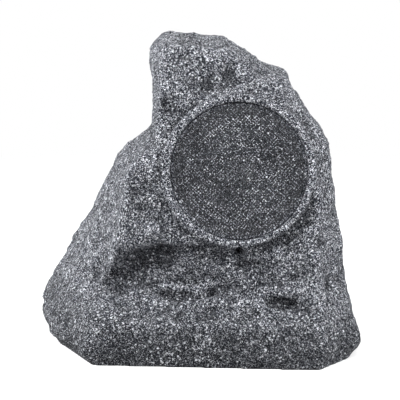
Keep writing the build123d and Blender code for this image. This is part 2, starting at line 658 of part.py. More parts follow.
# Crossover board and what stands on it
crossover_board = slab(board_x, board_y, BOARD_BOTTOM, BOARD_TOP, *BOARD_SIZE)
crossover_board -= [
    Pos(x, y, 0) * drum(BOARD_SCREW_RADIUS + SLIP, BOARD_BOTTOM - 1, BOARD_TOP + 1) for x, y in board_holes
]
board_screw = cross_screw(BOARD_SCREW_RADIUS, BOARD_THICK + BOARD_SCREW_BITE, 2.2 * BOARD_SCREW_RADIUS, 1.8)
board_screws = group([Pos(x, y, BOARD_TOP) * board_screw for x, y in board_holes])
board_left = board_x - BOARD_SIZE[0] / 2
board_front = board_y - BOARD_SIZE[1] / 2
board_back = board_y + BOARD_SIZE[1] / 2
bobbin_spot = Pos(board_left + BOBBIN_EDGE[0], board_back - BOBBIN_EDGE[1], BOARD_TOP)
inductor_bobbin = bobbin_spot * turned(
    (BOBBIN_CORE - BOBBIN_WALL, 0),
    (BOBBIN_RADIUS, 0),
    (BOBBIN_RADIUS, BOBBIN_WALL),
    (BOBBIN_CORE, BOBBIN_WALL),
    (BOBBIN_CORE, BOBBIN_HEIGHT - BOBBIN_WALL),
    (BOBBIN_RADIUS, BOBBIN_HEIGHT - BOBBIN_WALL),
    (BOBBIN_RADIUS, BOBBIN_HEIGHT),
    (BOBBIN_CORE - BOBBIN_WALL, BOBBIN_HEIGHT),
)
inductor_winding = bobbin_spot * tube(
    BOBBIN_CORE + SLIP, BOBBIN_RADIUS - 0.8, BOBBIN_WALL, BOBBIN_HEIGHT - BOBBIN_WALL
)
can = drum(CAN_RADIUS, 0, CAN_HEIGHT)
can = fillet(can.edges().group_by(Axis.Z)[-1], 1.2)
crossover_capacitors = group([Pos(board_x + x, board_y + y, BOARD_TOP) * can for x, y in ((5, 13), (9, -12))])
resistor_x = board_left + RESISTOR_EDGE[0]
resistor_y = board_front + RESISTOR_EDGE[1]
crossover_resistor = slab(resistor_x, resistor_y, BOARD_TOP, BOARD_TOP + RESISTOR_SIZE[2], *RESISTOR_SIZE[:2])
pole_rows = [board_y + (k - (POLE_COUNT - 1) / 2) * POLE_PITCH for k in range(POLE_COUNT)]
block_x = BLOCK_FACE - BLOCK_DEPTH / 2
block_top = BOARD_TOP + BLOCK_HEIGHT
board_terminal = slab(block_x, board_y, BOARD_TOP, block_top, BLOCK_DEPTH, POLE_COUNT * POLE_PITCH + 2)
board_terminal -= [Pos(block_x, y, 0) * drum(POLE_PITCH / 3, block_top - 4, block_top + 1) for y in pole_rows]

# Input terminals: seal, plate, screws, studs with plug bores, nuts and two knobs
plate_face = PLATE_SEAL + TERMINAL_PLATE
terminal_gasket = tube(TERMINAL_OPENING + 0.5, TERMINAL_RADIUS, 0, PLATE_SEAL)
terminal_plate = drum(TERMINAL_RADIUS, PLATE_SEAL, plate_face)
terminal_holes = [turn * drum(TERMINAL_SCREW_RADIUS + SLIP, -1, plate_face + 1) for turn in terminal_screw_turns]
terminal_gasket -= terminal_holes
terminal_plate -= terminal_holes
terminal_screw = cross_screw(
    TERMINAL_SCREW_RADIUS, plate_face + TERMINAL_SCREW_BITE, 1.9 * TERMINAL_SCREW_RADIUS, 1.7
)
terminal_screws = group([turn * Pos(0, 0, plate_face) * terminal_screw for turn in terminal_screw_turns])
stud_back = PLATE_SEAL - STUD_TAIL
cap_back = plate_face + STUD_COLLAR_THICK
cap_front = cap_back + CAP_LENGTH
stud = turned(
    (0, stud_back),
    (STUD_RADIUS, stud_back),
    (STUD_RADIUS, plate_face),
    (STUD_COLLAR, plate_face),
    (STUD_COLLAR, cap_back),
    (STUD_RADIUS, cap_back),
    (STUD_RADIUS, cap_front),
    (PLUG_BORE, cap_front),
    (PLUG_BORE, cap_front - PLUG_DEPTH),
    (0, cap_front - PLUG_DEPTH),
)
nut = Pos(0, 0, PLATE_SEAL - NUT_THICK) * extrude(RegularPolygon(NUT_RADIUS, 6), amount=NUT_THICK)
nut -= drum(STUD_RADIUS + SLIP, PLATE_SEAL - NUT_THICK - 1, PLATE_SEAL + 1)
cap = tube(STUD_RADIUS + SLIP, CAP_RADIUS, cap_back, cap_front)
flute = drum(FLUTE_RADIUS, cap_back + CAP_LENGTH / 5, cap_front + 1)
cap -= [turn * flute for turn in around(FLUTE_COUNT, CAP_RADIUS + FLUTE_RADIUS * 0.4)]
stud_spots = [Pos(side * POST_SPACING / 2, 0, 0) for side in (-1, 1)]
terminal_plate -= [spot * drum(STUD_RADIUS + SLIP, 0, plate_face + 1) for spot in stud_spots]
binding_studs = group([spot * stud for spot in stud_spots])
stud_nuts = group([spot * nut for spot in stud_spots])
red_post_cap = stud_spots[0] * cap
black_post_cap = stud_spots[1] * cap


# Leads: two cores each, with flat ends on the piece they are joined to
def core(radius, *points):
    path = FilletPolyline(*points, radius=LEAD_BEND)
    return sweep(Plane(origin=path @ 0, z_dir=path % 0) * Circle(radius), path=path)


def to_block(row):
    height = BOARD_TOP + BLOCK_HEIGHT / 2
    return [(BLOCK_FACE + 24, pole_rows[row], height), (BLOCK_FACE, pole_rows[row], height)]


def on_baffle(x, y, z):
    return tuple(baffle.from_local_coords(Vector(x, y, z)))


def on_back(x, z):
    return tuple(back_panel.from_local_coords(Vector(x, 0, z)))


post_x = POST_SPACING / 2
input_lead = group([
    core(LEAD_RADIUS, on_back(-post_x, stud_back), on_back(-post_x, stud_back - LEAD_RUN),
         (28, 58, 27), *to_block(5)),
    core(LEAD_RADIUS, on_back(post_x, stud_back), on_back(post_x, stud_back - LEAD_RUN),
         (24, 51, 27), *to_block(4)),
])
lug_x = LUG_SPACING / 2
lug_end = lug_y - LUG_SIZE[1] / 2 + 2.5
woofer_lead = group([
    core(LEAD_RADIUS, on_baffle(lug_x, lug_end, lug_back), on_baffle(lug_x, lug_end, lug_back - LEAD_RUN),
         (46, -12, 105), (24, 4, 45), *to_block(0)),
    core(LEAD_RADIUS, on_baffle(-lug_x, lug_end, lug_back), on_baffle(-lug_x, lug_end, lug_back - LEAD_RUN),
         (40, -10, 105), (18, 13, 45), *to_block(1)),
])
bore_x = (POST_BORE - TWEETER_LEAD + SLIP) / 2
tweeter_lead = group([
    core(TWEETER_LEAD, on_baffle(bore_x, 0, TWEETER_FLOOR), on_baffle(bore_x, 0, YOKE_BACK - LEAD_RUN),
         (54, 28, 150), (30, 30, 70), *to_block(2)),
    core(TWEETER_LEAD, on_baffle(-bore_x, 0, TWEETER_FLOOR), on_baffle(-bore_x, 0, YOKE_BACK - LEAD_RUN),
         (48, 30, 150), (23, 37, 70), *to_block(3)),
])

parts = {
    "rock_shell": shell,
    "base_plate": base_plate,
    "base_gasket": base_gasket,
    "base_screws": base_screws,
    "grille": baffle * grille,
    "woofer_gasket": baffle * woofer_gasket,
    "woofer_basket": baffle * woofer_basket,
    "woofer_screws": baffle * woofer_screws,
    "woofer_surround": baffle * woofer_surround,
    "woofer_cone": baffle * woofer_cone,
    "coil_former": baffle * coil_former,
    "voice_coil": baffle * voice_coil,
    "spider": baffle * spider,
    "top_plate": baffle * top_plate,
    "magnet": baffle * magnet,
    "pole_yoke": baffle * pole_yoke,
    "terminal_strip": baffle * terminal_strip,
    "terminal_lugs": baffle * terminal_lugs,
    "tweeter_post": baffle * tweeter_post,
    "tweeter_housing": baffle * tweeter_housing,
    "tweeter_pot": baffle * tweeter_pot,
    "tweeter_magnet": baffle * tweeter_magnet,
    "tweeter_pole": baffle * tweeter_pole,
    "tweeter_dome": baffle * tweeter_dome,
    "tweeter_faceplate": baffle * tweeter_faceplate,
    "crossover_board": crossover_board,
    "board_screws": board_screws,
    "inductor_bobbin": inductor_bobbin,
    "inductor_winding": inductor_winding,
    "crossover_capacitors": crossover_capacitors,
    "crossover_resistor": crossover_resistor,
    "board_terminal": board_terminal,
    "terminal_gasket": back_panel * terminal_gasket,
    "terminal_plate": back_panel * terminal_plate,
    "terminal_screws": back_panel * terminal_screws,
    "binding_studs": back_panel * binding_studs,
    "stud_nuts": back_panel * stud_nuts,
    "red_post_cap": back_panel * red_post_cap,
    "black_post_cap": back_panel * black_post_cap,
    "input_lead": input_lead,
    "woofer_lead": woofer_lead,
    "tweeter_lead": tweeter_lead,
}

os.makedirs("parts", exist_ok=True)
for name, shape in parts.items():
    export_step(shape, os.path.join("parts", name + ".step"))
    print(name, shape.is_valid, len(shape.solids()), round(shape.volume))
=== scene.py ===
import json
import math

import bpy
import numpy as np
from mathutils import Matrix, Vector
from mathutils.bvhtree import BVHTree


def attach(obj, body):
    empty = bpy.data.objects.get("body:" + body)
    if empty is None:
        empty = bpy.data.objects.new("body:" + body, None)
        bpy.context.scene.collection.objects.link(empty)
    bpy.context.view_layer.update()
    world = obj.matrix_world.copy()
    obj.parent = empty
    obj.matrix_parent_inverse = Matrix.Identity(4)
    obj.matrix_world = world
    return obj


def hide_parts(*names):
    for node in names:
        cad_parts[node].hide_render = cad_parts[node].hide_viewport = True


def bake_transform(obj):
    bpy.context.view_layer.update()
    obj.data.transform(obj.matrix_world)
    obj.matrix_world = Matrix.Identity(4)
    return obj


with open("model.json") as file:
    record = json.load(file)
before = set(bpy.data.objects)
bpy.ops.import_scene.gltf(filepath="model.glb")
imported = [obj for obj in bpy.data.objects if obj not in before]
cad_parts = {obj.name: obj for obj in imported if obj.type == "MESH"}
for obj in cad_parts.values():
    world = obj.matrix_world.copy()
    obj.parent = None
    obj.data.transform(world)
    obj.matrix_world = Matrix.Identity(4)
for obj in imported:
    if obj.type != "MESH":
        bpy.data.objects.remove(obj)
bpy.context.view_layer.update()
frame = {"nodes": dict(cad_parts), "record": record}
nodes = frame["nodes"]
scene = bpy.context.scene
scene.view_settings.view_transform = "Standard"
mm = 0.001
print("frame loaded,", len(nodes), "nodes")

# the leaning front face that carries the grille
baffle = {"centre": Vector((0.053, -0.100, 0.2205)), "lean": 12.0}
lean = math.radians(baffle["lean"])
rightward = Vector((1, 0, 0))
upward = Vector((0, math.sin(lean), math.cos(lean)))
outward = Vector((0, -math.cos(lean), math.sin(lean)))


# camera

view = {"place": (0.053, -2.4476, 0.7195), "aim": (0.0089, -0.1068, 0.1884), "lens": 191.0}


def pointAt(thing, place, aim):
    thing.rotation_euler = (Vector(aim) - Vector(place)).to_track_quat("-Z", "Y").to_euler()


def setCamera():
    bpy.ops.object.camera_add(location=view["place"])
    camera = bpy.context.object
    pointAt(camera, view["place"], view["aim"])
    camera.data.lens = view["lens"]
    camera.data.clip_end = 50
    scene.camera = camera
    print("camera set")


# shader tools

class Signal:
    # one socket of a shader, so that maths on it reads as plain Python
    def __init__(self, graph, socket):
        self.graph = graph
        self.socket = socket

    def __add__(self, other):
        return self.graph.maths("ADD", self, other)

    def __radd__(self, other):
        return self.graph.maths("ADD", other, self)

    def __mul__(self, other):
        return self.graph.maths("MULTIPLY", self, other)

    def __rmul__(self, other):
        return self.graph.maths("MULTIPLY", other, self)

    def __lt__(self, other):
        return self.graph.maths("LESS_THAN", self, other)

    def __gt__(self, other):
        return self.graph.maths("GREATER_THAN", self, other)


class Graph:
    def __init__(self, tree):
        self.tree = tree

    def node(self, kind, settings=None, sockets=None, out=0):
        made = self.tree.nodes.new(kind)
        for key, value in (settings or {}).items():
            if key == "stops":
                self.setStops(made.color_ramp, value)
            else:
                setattr(made, key, value)
        for key, value in (sockets or {}).items():
            if isinstance(value, Signal):
                self.tree.links.new(value.socket, made.inputs[key])
            else:
                made.inputs[key].default_value = value
        return Signal(self, made.outputs[out])

    def setStops(self, ramp, stops):
        # a stop's colour is given in full, or as one number for a grey
        while len(ramp.elements) < len(stops):
            ramp.elements.new(1.0)
        for element, (place, colour) in zip(ramp.elements, stops):
            element.position = place
            element.color = (*(colour if isinstance(colour, tuple) else (colour,) * 3), 1.0)

    def maths(self, operation, first, second):
        return self.node("ShaderNodeMath", {"operation": operation}, {0: first, 1: second})

    def place(self):
        return self.node("ShaderNodeTexCoord", out="Object")

    def noise(self, place, scale, detail=3.0, rough=0.55, out="Fac"):
        sockets = {"Vector": place, "Scale": scale, "Detail": detail, "Roughness": rough}
        return self.node("ShaderNodeTexNoise", None, sockets, out)

    def cells(self, place, scale, out="Color"):
        return self.node("ShaderNodeTexVoronoi", None, {"Vector": place, "Scale": scale}, out)

    def wave(self, place, scale, direction, **shape):
        sockets = {"Vector": place, "Scale": scale, **shape}
        return self.node("ShaderNodeTexWave", {"bands_direction": direction}, sockets, "Fac")

    def channel(self, colour, which):
        return self.node("ShaderNodeSeparateColor", None, {0: colour}, which)

    def ramp(self, value, stops):
        return self.node("ShaderNodeValToRGB", {"stops": stops}, {0: value})

    def mix(self, factor, first, second, way="MIX"):
        settings = {"data_type": "RGBA", "blend_type": way, "clamp_factor": True}
        return self.node("ShaderNodeMix", settings, {0: factor, 6: first, 7: second}, 2)

    def shaded(self, colour, shade, share=1.0):
        return self.mix(share, colour, shade, "MULTIPLY")

    def stretch(self, place, scale):
        return self.node("ShaderNodeMapping", None, {"Vector": place, "Scale": scale})

    def warp(self, place, push, reach):
        sockets = {0: push, 1: (reach,) * 3, 2: place}
        return self.node("ShaderNodeVectorMath", {"operation": "MULTIPLY_ADD"}, sockets)


class Finish(Graph):
    def __init__(self, name, constants=None):
        self.material = bpy.data.materials.new(name)
        self.material.use_nodes = True
        super().__init__(self.material.node_tree)
        self.surface = self.tree.nodes["Principled BSDF"]
        for socket, value in (constants or {}).items():
            self.surface.inputs[socket].default_value = value

    def feed(self, socket, signal):
        self.tree.links.new(signal.socket, self.surface.inputs[socket])

    def roughen(self, place, level, swing, size):
        self.feed("Roughness", level + swing * self.noise(place, size))

    def bump(self, height, strength, distance):
        sockets = {"Height": height, "Strength": strength, "Distance": distance}
        self.feed("Normal", self.node("ShaderNodeBump", None, sockets))


# mesh tools

def makeActive(piece):
    bpy.ops.object.select_all(action="DESELECT")
    piece.select_set(True)
    bpy.context.view_layer.objects.active = piece


def editAll(piece):
    makeActive(piece)
    bpy.ops.object.mode_set(mode="EDIT")
    bpy.ops.mesh.select_all(action="SELECT")


def editFaces(piece, test):
    mesh = piece.data
    for part in (mesh.vertices, mesh.edges):
        part.foreach_set("select", np.zeros(len(part), bool))
    mesh.polygons.foreach_set("select", np.array([bool(test(face)) for face in mesh.polygons]))
    makeActive(piece)
    bpy.ops.object.mode_set(mode="EDIT")


def endEdit():
    bpy.ops.object.mode_set(mode="OBJECT")


def copyNode(node, name):
    piece = bpy.data.objects.new(name, nodes[node].data.copy())
    scene.collection.objects.link(piece)
    editAll(piece)
    bpy.ops.mesh.remove_doubles(threshold=0.005 * mm)
    endEdit()
    return piece


def applyModifier(piece, kind, **settings):
    makeActive(piece)
    modifier = piece.modifiers.new(kind.lower(), kind)
    for key, value in settings.items():
        setattr(modifier, key, value)
    bpy.ops.object.modifier_apply(modifier=modifier.name)


def readVertices(mesh, what):
    flat = np.empty(len(mesh.vertices) * 3, np.float32)
    mesh.vertices.foreach_get(what, flat)
    return flat.reshape(-1, 3).astype(float)


def readPoints(mesh):
    return readVertices(mesh, "co")


def readNormals(mesh):
    return readVertices(mesh, "normal")


def writePoints(mesh, points):
    mesh.vertices.foreach_set("co", points.astype(np.float32).ravel())
    mesh.update()


def fade(values, low, high):
    share = np.clip((values - low) / (high - low), 0, 1)
    return share * share * (3 - 2 * share)


def onBaffle(points):
    away = points - np.array(baffle["centre"])
    return away[:, 0], away @ np.array(upward), away @ np.array(outward)


def weightGroup(piece, name, weights):
    group = piece.vertex_groups.new(name=name)
    for index, weight in enumerate(weights.tolist()):
        group.add([index], weight, "REPLACE")


def dress(piece, material):
    piece.data.materials.clear()
    piece.data.materials.append(material)


# granite paint on the rock and the grille

granite = {
    "grain": 1400.0,
    "grainTear": (500.0, 3.0 * mm),  # size and reach of the noise that tears the grains' outlines
    "mottle": 480.0,
    "mottleShare": 0.12,
    "ground": [
        (0.28, (0.004, 0.005, 0.007)),
        (0.55, (0.029, 0.032, 0.042)),
        (0.73, (0.116, 0.123, 0.147)),
        (0.82, (0.42, 0.435, 0.48)),
        (0.87, (0.90, 0.925, 0.98)),
    ],
    "chips": 300.0,
    "chipTear": (620.0, 7.0 * mm),
    "chipShare": 0.27,
    "chipReach": 0.315,
    "chipCover": 0.95,
    "chipShade": 0.3,  # share of the shading that the chips take
    "chipColour": (0.90, 0.925, 0.98, 1.0),
    # on the rock: painted shade in the hollows and lighter ridges by depth, patches, and darker towards the
    # bottom up to its height
    "depthShade": [(0.25, 1.12), (0.5, 0.95), (0.85, (0.38, 0.38, 0.39))],
    "patches": 34.0,
    "patchShade": [(0.3, 0.78), (0.7, 1.15)],
    "bottomDarkHeight": 1 / 12,
    "bottomDarkRagged": (45.0, 12.0 * mm),
    "bottomDarkStops": [(0.10, 0.43), (0.66, 0.68), (0.92, 1.0)],
    # size and share of each layer of the fine relief
    "crust": (170.0, 1.3),
    "grit": (480.0, 0.8),
    "grainRelief": 0.25,
    "bump": (0.85, 1.6 * mm),
    "roughness": (0.74, 0.2, 700.0),  # level, swing and size of its noise
}


def tornPlace(paint, place, tear):
    scale, reach = tear
    return paint.warp(place, paint.noise(place, scale, 3.0, 0.6, "Color"), reach)


def graniteSpeckle(paint, place, chipShare, shade):
    grainPlace = tornPlace(paint, place, granite["grainTear"])
    share = granite["mottleShare"]
    grain = paint.channel(paint.cells(grainPlace, granite["grain"]), "Red") * (1 - share)
    grain = grain + paint.noise(place, granite["mottle"], 2.0, 0.7) * share
    chipPlace = tornPlace(paint, place, granite["chipTear"])
    chipPick = paint.channel(paint.cells(chipPlace, granite["chips"]), "Green")
    chipAway = paint.cells(chipPlace, granite["chips"], "Distance")
    chips = (chipPick < chipShare) * (chipAway < granite["chipReach"])
    ground = paint.shaded(paint.ramp(grain, granite["ground"]), shade)
    bright = paint.shaded(granite["chipColour"], shade, granite["chipShade"])
    return paint.mix(chips * granite["chipCover"], ground, bright), grain


def graniteFinish():
    paint = Finish("speckledGranite", {"Specular IOR Level": 0.15})
    place = paint.place()
    # painted shade in the hollows and lighter on the ridges, by each point's depth below its smoothed
    # surroundings
    hollow = paint.node("ShaderNodeAttribute", {"attribute_name": "hollow"}, None, "Fac")
    shade = paint.ramp(hollow, granite["depthShade"])
    patches = paint.noise(place, granite["patches"], 4.0, 0.6)
    shade = paint.shaded(shade, paint.ramp(patches, granite["patchShade"]))
    # darker towards the bottom, up to a ragged height
    raggedSize, raggedReach = granite["bottomDarkRagged"]
    height = paint.node("ShaderNodeSeparateXYZ", None, {0: place}, "Z")
    height = (height + raggedReach * paint.noise(place, raggedSize)) * (1 / granite["bottomDarkHeight"])
    shade = paint.shaded(shade, paint.ramp(height, granite["bottomDarkStops"]))
    colour, grain = graniteSpeckle(paint, place, granite["chipShare"], shade)
    paint.feed("Base Color", colour)
    paint.roughen(place, *granite["roughness"])
    crustSize, crustShare = granite["crust"]
    gritSize, gritShare = granite["grit"]
    crust = paint.noise(place, crustSize, 3.0, 0.6) * crustShare
    grit = paint.noise(place, gritSize, 4.0, 0.65) * gritShare
    paint.bump(crust + grit + grain * granite["grainRelief"], *granite["bump"])
    return paint.material


# rock

rock = {
    "voxel": 2.45 * mm,
    "insideKept": 0.13,  # share of the cavity's faces that stays
    "wall": 5.5 * mm,
    "soften": 14,
    "softenRing": 3,
    "recess": {"radius": 78.1 * mm, "from": -1.5 * mm, "to": -20.5 * mm, "clear": 0.2 * mm},
    "seat": {"inner": 67.5 * mm, "outer": 77.2 * mm, "depth": 22.0 * mm, "clear": 0.05 * mm},
    "slack": 1.2 * mm,  # what lies this near to a drawn face belongs to it
    "ring": 88.0 * mm,
    "front": {"radius": 95 * mm, "depth": 31 * mm, "reach": 60 * mm},
    # the ring stands out about one direction and melts into the rock away from it
    "proud": {"turn": -50.0, "full": 40.0, "gone": 75.0, "melt": 5.5 * mm},
    "gritOnRing": 0.55,
    "pocket": {"x": 60 * mm, "z": 62 * mm, "radius": 27 * mm, "from": 90 * mm},
    "sole": 12 * mm,
    "cavityFrom": 10.5 * mm,  # the cavity has no wall below this height
    "sightLift": 0.6 * mm,
    # where the shaping fades in, outwards from each drawn edge
    "fades": {
        "ring": (-0.5 * mm, 6.5 * mm),
        "recess": (1.5 * mm, 5.0 * mm),
        "pocket": (1.5 * mm, 8.0 * mm),
        "sole": (1.0 * mm, 12.0 * mm),
    },
    "hollowPasses": 26,
    "hollowDepth": 5.0 * mm,
    # points inside the cavity, to tell its walls from the skin
    "cavity": [
        (0, 30, 60), (-90, 30, 45), (60, 60, 150), (10, 10, 300), (110, 60, 90), (-20, 60, 230),
        (120, -20, 60), (-20, -60, 60), (110, -70, 40), (-110, -60, 40), (20, 20, 330), (60, 40, 60),
        (125, 20, 150),
    ],
    # broad moulding of the form: points along a stroke, its reach and its push in millimetres
    "strokes": [
        # left shoulder and the valley beside the ring
        ([(-50, -92, 227), (-53, -98, 192), (-53, -104, 152)], 18, 3),
        ([(-70, -82, 218), (-75, -97, 185), (-83, -103, 140)], 12, 2),
        ([(-65, -93, 214), (-69, -100, 186), (-72, -104, 160)], 7, -2.5),
        ([(-43, -104, 152)], 15, 5),
        ([(53, -75, 312), (17, -77, 306), (-14, -81, 285), (-34, -87, 256), (-42, -95, 219)], 14, 3),
        ([(-33, -71, 293)], 16, -5),
        # crown and neck
        ([(-24, 0, 359)], 14, 3),
        ([(-6, 15, 357), (-4, 38, 357), (20, 35, 355)], 14, -3.5),
        ([(112, -38, 306)], 9, -2.5),
        ([(-46, -28, 296)], 7, -2.5),
        ([(-46, -32, 280)], 9, 2.5),
        # overhang, with the lip and the crease under it
        ([(-40, -95, 112), (-65, -91, 106), (-92, -79, 92)], 28, -5),
        ([(-30, -100, 126), (0, -103, 125), (36, -106, 120)], 17, -3.5),
        ([(-34, -92, 85), (-18, -96, 83), (3, -100, 84), (26, -102, 89)], 9, 4.5),
        ([(-36, -95, 76), (-18, -100, 73), (3, -104, 73), (25, -102, 79)], 6.5, -6.5),
        ([(-85, -120, 60), (0, -123, 60), (80, -127, 62), (135, -127, 62)], 20, -1.5),
        ([(-95, -135, 46), (0, -140, 47), (80, -143, 48), (145, -145, 48)], 14, 1),
        # pit and cheek on the right
        ([(88, -117, 72), (104, -117, 70), (117, -119, 69)], 9, -7.5),
        ([(84, -113, 85), (118, -117, 83)], 9, 4),
        ([(112, -110, 135), (145, -106, 138)], 18, -4),
        ([(118, -120, 84), (146, -118, 86)], 20, 4.5),
        ([(172, -60, 98)], 7, -4),
        ([(154, -66, 228)], 5, -3.5),
        ([(152, -64, 239)], 9, 2),
        # groove round the ring and the drain under it
        ([(70, -108, 124), (83, -110, 130), (105, -111, 141), (126, -110, 157), (139, -104, 174)], 8, -3),
        ([(53, -110, 128), (54, -110, 122)], 9.5, -9),
        ([(52, -104, 111), (63, -105, 112), (76, -107, 114)], 9, -4),
        # corners of the foot
        ([(186, -60, 15), (184, -95, 25)], 32, 6),
        ([(-180, 20, 22), (-171, -21, 20), (-156, -66, 18)], 26, 6),
    ],
    # weathered relief, coarse to fine: noise, size and depth in millimetres, and the weights it follows
    "relief": [
        ("SOFT_NOISE", 62, 7.0, "skin"),
        ("SOFT_NOISE", 25, 4.8, "skin"),
        ("SOFT_NOISE", 11, 2.9, "grit"),
        ("HARD_NOISE", 5.5, 1.3, "grit"),
    ],
}


def faceTree(mesh, points, skipped=None):
    mesh.calc_loop_triangles()
    triangles = [tuple(t.vertices) for t in mesh.loop_triangles]
    if skipped is not None:
        triangles = [corners for corners in triangles if not any(skipped[v] for v in corners)]
    return BVHTree.FromPolygons([Vector(p) for p in points], triangles)


def insideWalls(mesh):
    # a point belongs to the cavity if it has a free sight to one of the points inside
    points, normals = readPoints(mesh), readNormals(mesh)
    tree = faceTree(mesh, points)
    across, up, out = onBaffle(points)
    front = (np.hypot(across, up) < rock["front"]["radius"]) & (out > -rock["front"]["depth"])
    asked = ~front & (points[:, 2] > rock["cavityFrom"])
    inside = np.zeros(len(points), bool)
    for target in (Vector(spot) * mm for spot in rock["cavity"]):
        for index in np.nonzero(~inside & asked)[0]:
            start = Vector(points[index]) + Vector(normals[index]) * rock["sightLift"]
            way = target - start
            inside[index] = tree.ray_cast(start, way, way.length)[0] is None
    return inside


def remeshRock():
    piece = copyNode("rock_shell", "rockCasting")
    applyModifier(piece, "REMESH", mode="VOXEL", voxel_size=rock["voxel"], adaptivity=0)
    inside = insideWalls(piece.data)
    editFaces(piece, lambda face: all(inside[v] for v in face.vertices))
    bpy.ops.mesh.decimate(ratio=rock["insideKept"])
    endEdit()
    print("rock remeshed,", len(piece.data.polygons), "faces")
    return piece


def weighSkin(piece, inside):
    # how far each point may move: not at all in the recess, the pocket, the sole and the cavity
    points, normals = readPoints(piece.data), readNormals(piece.data)
    across, up, out = onBaffle(points)
    radius = np.hypot(across, up)
    nearRing = out > -rock["front"]["reach"]
    fades, proud, pocket = rock["fades"], rock["proud"], rock["pocket"]
    turn = np.arctan2(up, across) - math.radians(proud["turn"])
    aside = np.abs((turn + math.pi) % (2 * math.pi) - math.pi)
    melt = proud["melt"] * fade(aside, math.radians(proud["full"]), math.radians(proud["gone"]))
    low, high = fades["ring"]
    skin = np.where(nearRing, fade(radius, rock["ring"] + low - melt, rock["ring"] + high), 1.0)
    low, high = (rock["recess"]["radius"] + edge for edge in fades["recess"])
    grit = np.where(nearRing, fade(radius, low, high), 1.0)
    low, high = (pocket["radius"] + edge for edge in fades["pocket"])
    pocketAway = np.hypot(points[:, 0] - pocket["x"], points[:, 2] - pocket["z"])
    keep = np.where(points[:, 1] > pocket["from"], fade(pocketAway, low, high), 1.0)
    keep *= fade(points[:, 2], *fades["sole"])
    facingIn = (normals[:, :2] * points[:, :2]).sum(1) < 0
    level = np.abs(normals[:, 2]) > 0.8
    keep[(points[:, 2] < rock["sole"]) & (facingIn | level)] = 0
    keep[inside] = 0
    share = rock["gritOnRing"]
    weightGroup(piece, "skin", skin * keep)
    weightGroup(piece, "grit", grit * keep * (share + (1 - share) * skin))
    return skin * keep


def segmentDistance(points, first, last):
    run = last - first
    share = np.clip(((points - first) @ run) / max(run @ run, 1e-12), 0, 1)
    return np.linalg.norm(points - first - share[:, None] * run, axis=1)


def mouldStrokes(mesh, skin):
    points, normals = readPoints(mesh), readNormals(mesh)
    for path, reach, push in rock["strokes"]:
        spots = [np.array(spot) * mm for spot in path]
        runs = zip(spots, spots[1:] or spots)
        away = np.min([segmentDistance(points, first, last) for first, last in runs], axis=0)
        weight = (1 - np.clip(away / (reach * mm), 0, 1) ** 2) ** 2
        points += normals * (weight * skin * push * mm)[:, None]
    writePoints(mesh, points)


def carveRelief(piece):
    for noiseType, size, depth, group in rock["relief"]:
        cloud = bpy.data.textures.new("relief%g" % size, "CLOUDS")
        cloud.noise_type = noiseType
        cloud.noise_scale = size * mm
        cloud.noise_depth = 1
        applyModifier(piece, "DISPLACE", texture=cloud, texture_coords="LOCAL", direction="NORMAL",
                      strength=depth * mm, mid_level=0.5, vertex_group=group)


def trueRock(mesh):
    # the recess, its seat and the foot go back to their drawn sizes
    points = readPoints(mesh)
    across, up, out = onBaffle(points)
    radius = np.maximum(np.hypot(across, up), 1e-6)
    recess, seat, slack = rock["recess"], rock["seat"], rock["slack"]
    wall = (np.abs(radius - recess["radius"]) < slack) & (out < recess["from"]) & (out > recess["to"])
    shift = (recess["radius"] + recess["clear"]) / radius - 1
    sideways = across[:, None] * np.array(rightward) + up[:, None] * np.array(upward)
    points[wall] += sideways[wall] * shift[wall][:, None]
    onSeat = (radius > seat["inner"]) & (radius < seat["outer"]) & (np.abs(out + seat["depth"]) < slack)
    points[onSeat] -= np.array(outward) * (seat["depth"] + seat["clear"] + out[onSeat])[:, None]
    points[:, 2] = np.maximum(points[:, 2], 0)
    writePoints(mesh, points)


def keepWall(mesh, inside):
    # the cavity gives way where the skin has come too near to it
    points, normals = readPoints(mesh), readNormals(mesh)
    tree = faceTree(mesh, points, inside)
    for index in np.nonzero(inside)[0]:
        spot = Vector(points[index])
        place, normal = tree.find_nearest(spot)[:2]
        behind = (place - spot).dot(normal)
        opposite = normal.dot(Vector(normals[index])) < -0.2
        if behind < rock["wall"] and opposite:
            points[index] += normals[index] * (rock["wall"] - behind)
    writePoints(mesh, points)


def paintHollows(mesh):
    # how far each point lies below its smoothed surroundings, which the granite paint turns into painted
    # shade in the hollows
    points, normals = readPoints(mesh), readNormals(mesh)
    edges = np.empty(len(mesh.edges) * 2, np.int32)
    mesh.edges.foreach_get("vertices", edges)
    first, last = edges.reshape(-1, 2).T
    count = np.bincount(edges, minlength=len(points))[:, None]
    smooth = points.copy()
    for step in range(rock["hollowPasses"]):
        total = np.zeros_like(smooth)
        np.add.at(total, first, smooth[last])
        np.add.at(total, last, smooth[first])
        smooth = total / np.maximum(count, 1)
    depth = ((smooth - points) * normals).sum(1)
    hollow = np.clip(0.5 + depth / rock["hollowDepth"], 0, 1)
    mesh.attributes.new("hollow", "FLOAT", "POINT").data.foreach_set("value", hollow.astype(np.float32))


def makeRock():
    piece = remeshRock()
    mesh = piece.data
    inside = insideWalls(mesh)
    skin = weighSkin(piece, inside)
    applyModifier(piece, "SMOOTH", factor=0.5, iterations=rock["soften"], vertex_group="skin")
    applyModifier(piece, "SMOOTH", factor=0.5, iterations=rock["softenRing"], vertex_group="grit")
    mouldStrokes(mesh, skin)
    carveRelief(piece)
    trueRock(mesh)
    keepWall(mesh, inside)
    paintHollows(mesh)
    makeActive(piece)
    bpy.ops.object.shade_smooth()
    dress(piece, graniteFinish())
    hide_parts("rock_shell")
    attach(piece, "enclosure")
    mesh.calc_loop_triangles()
    print("rock weathered,", len(mesh.loop_triangles), "triangles")


# grille

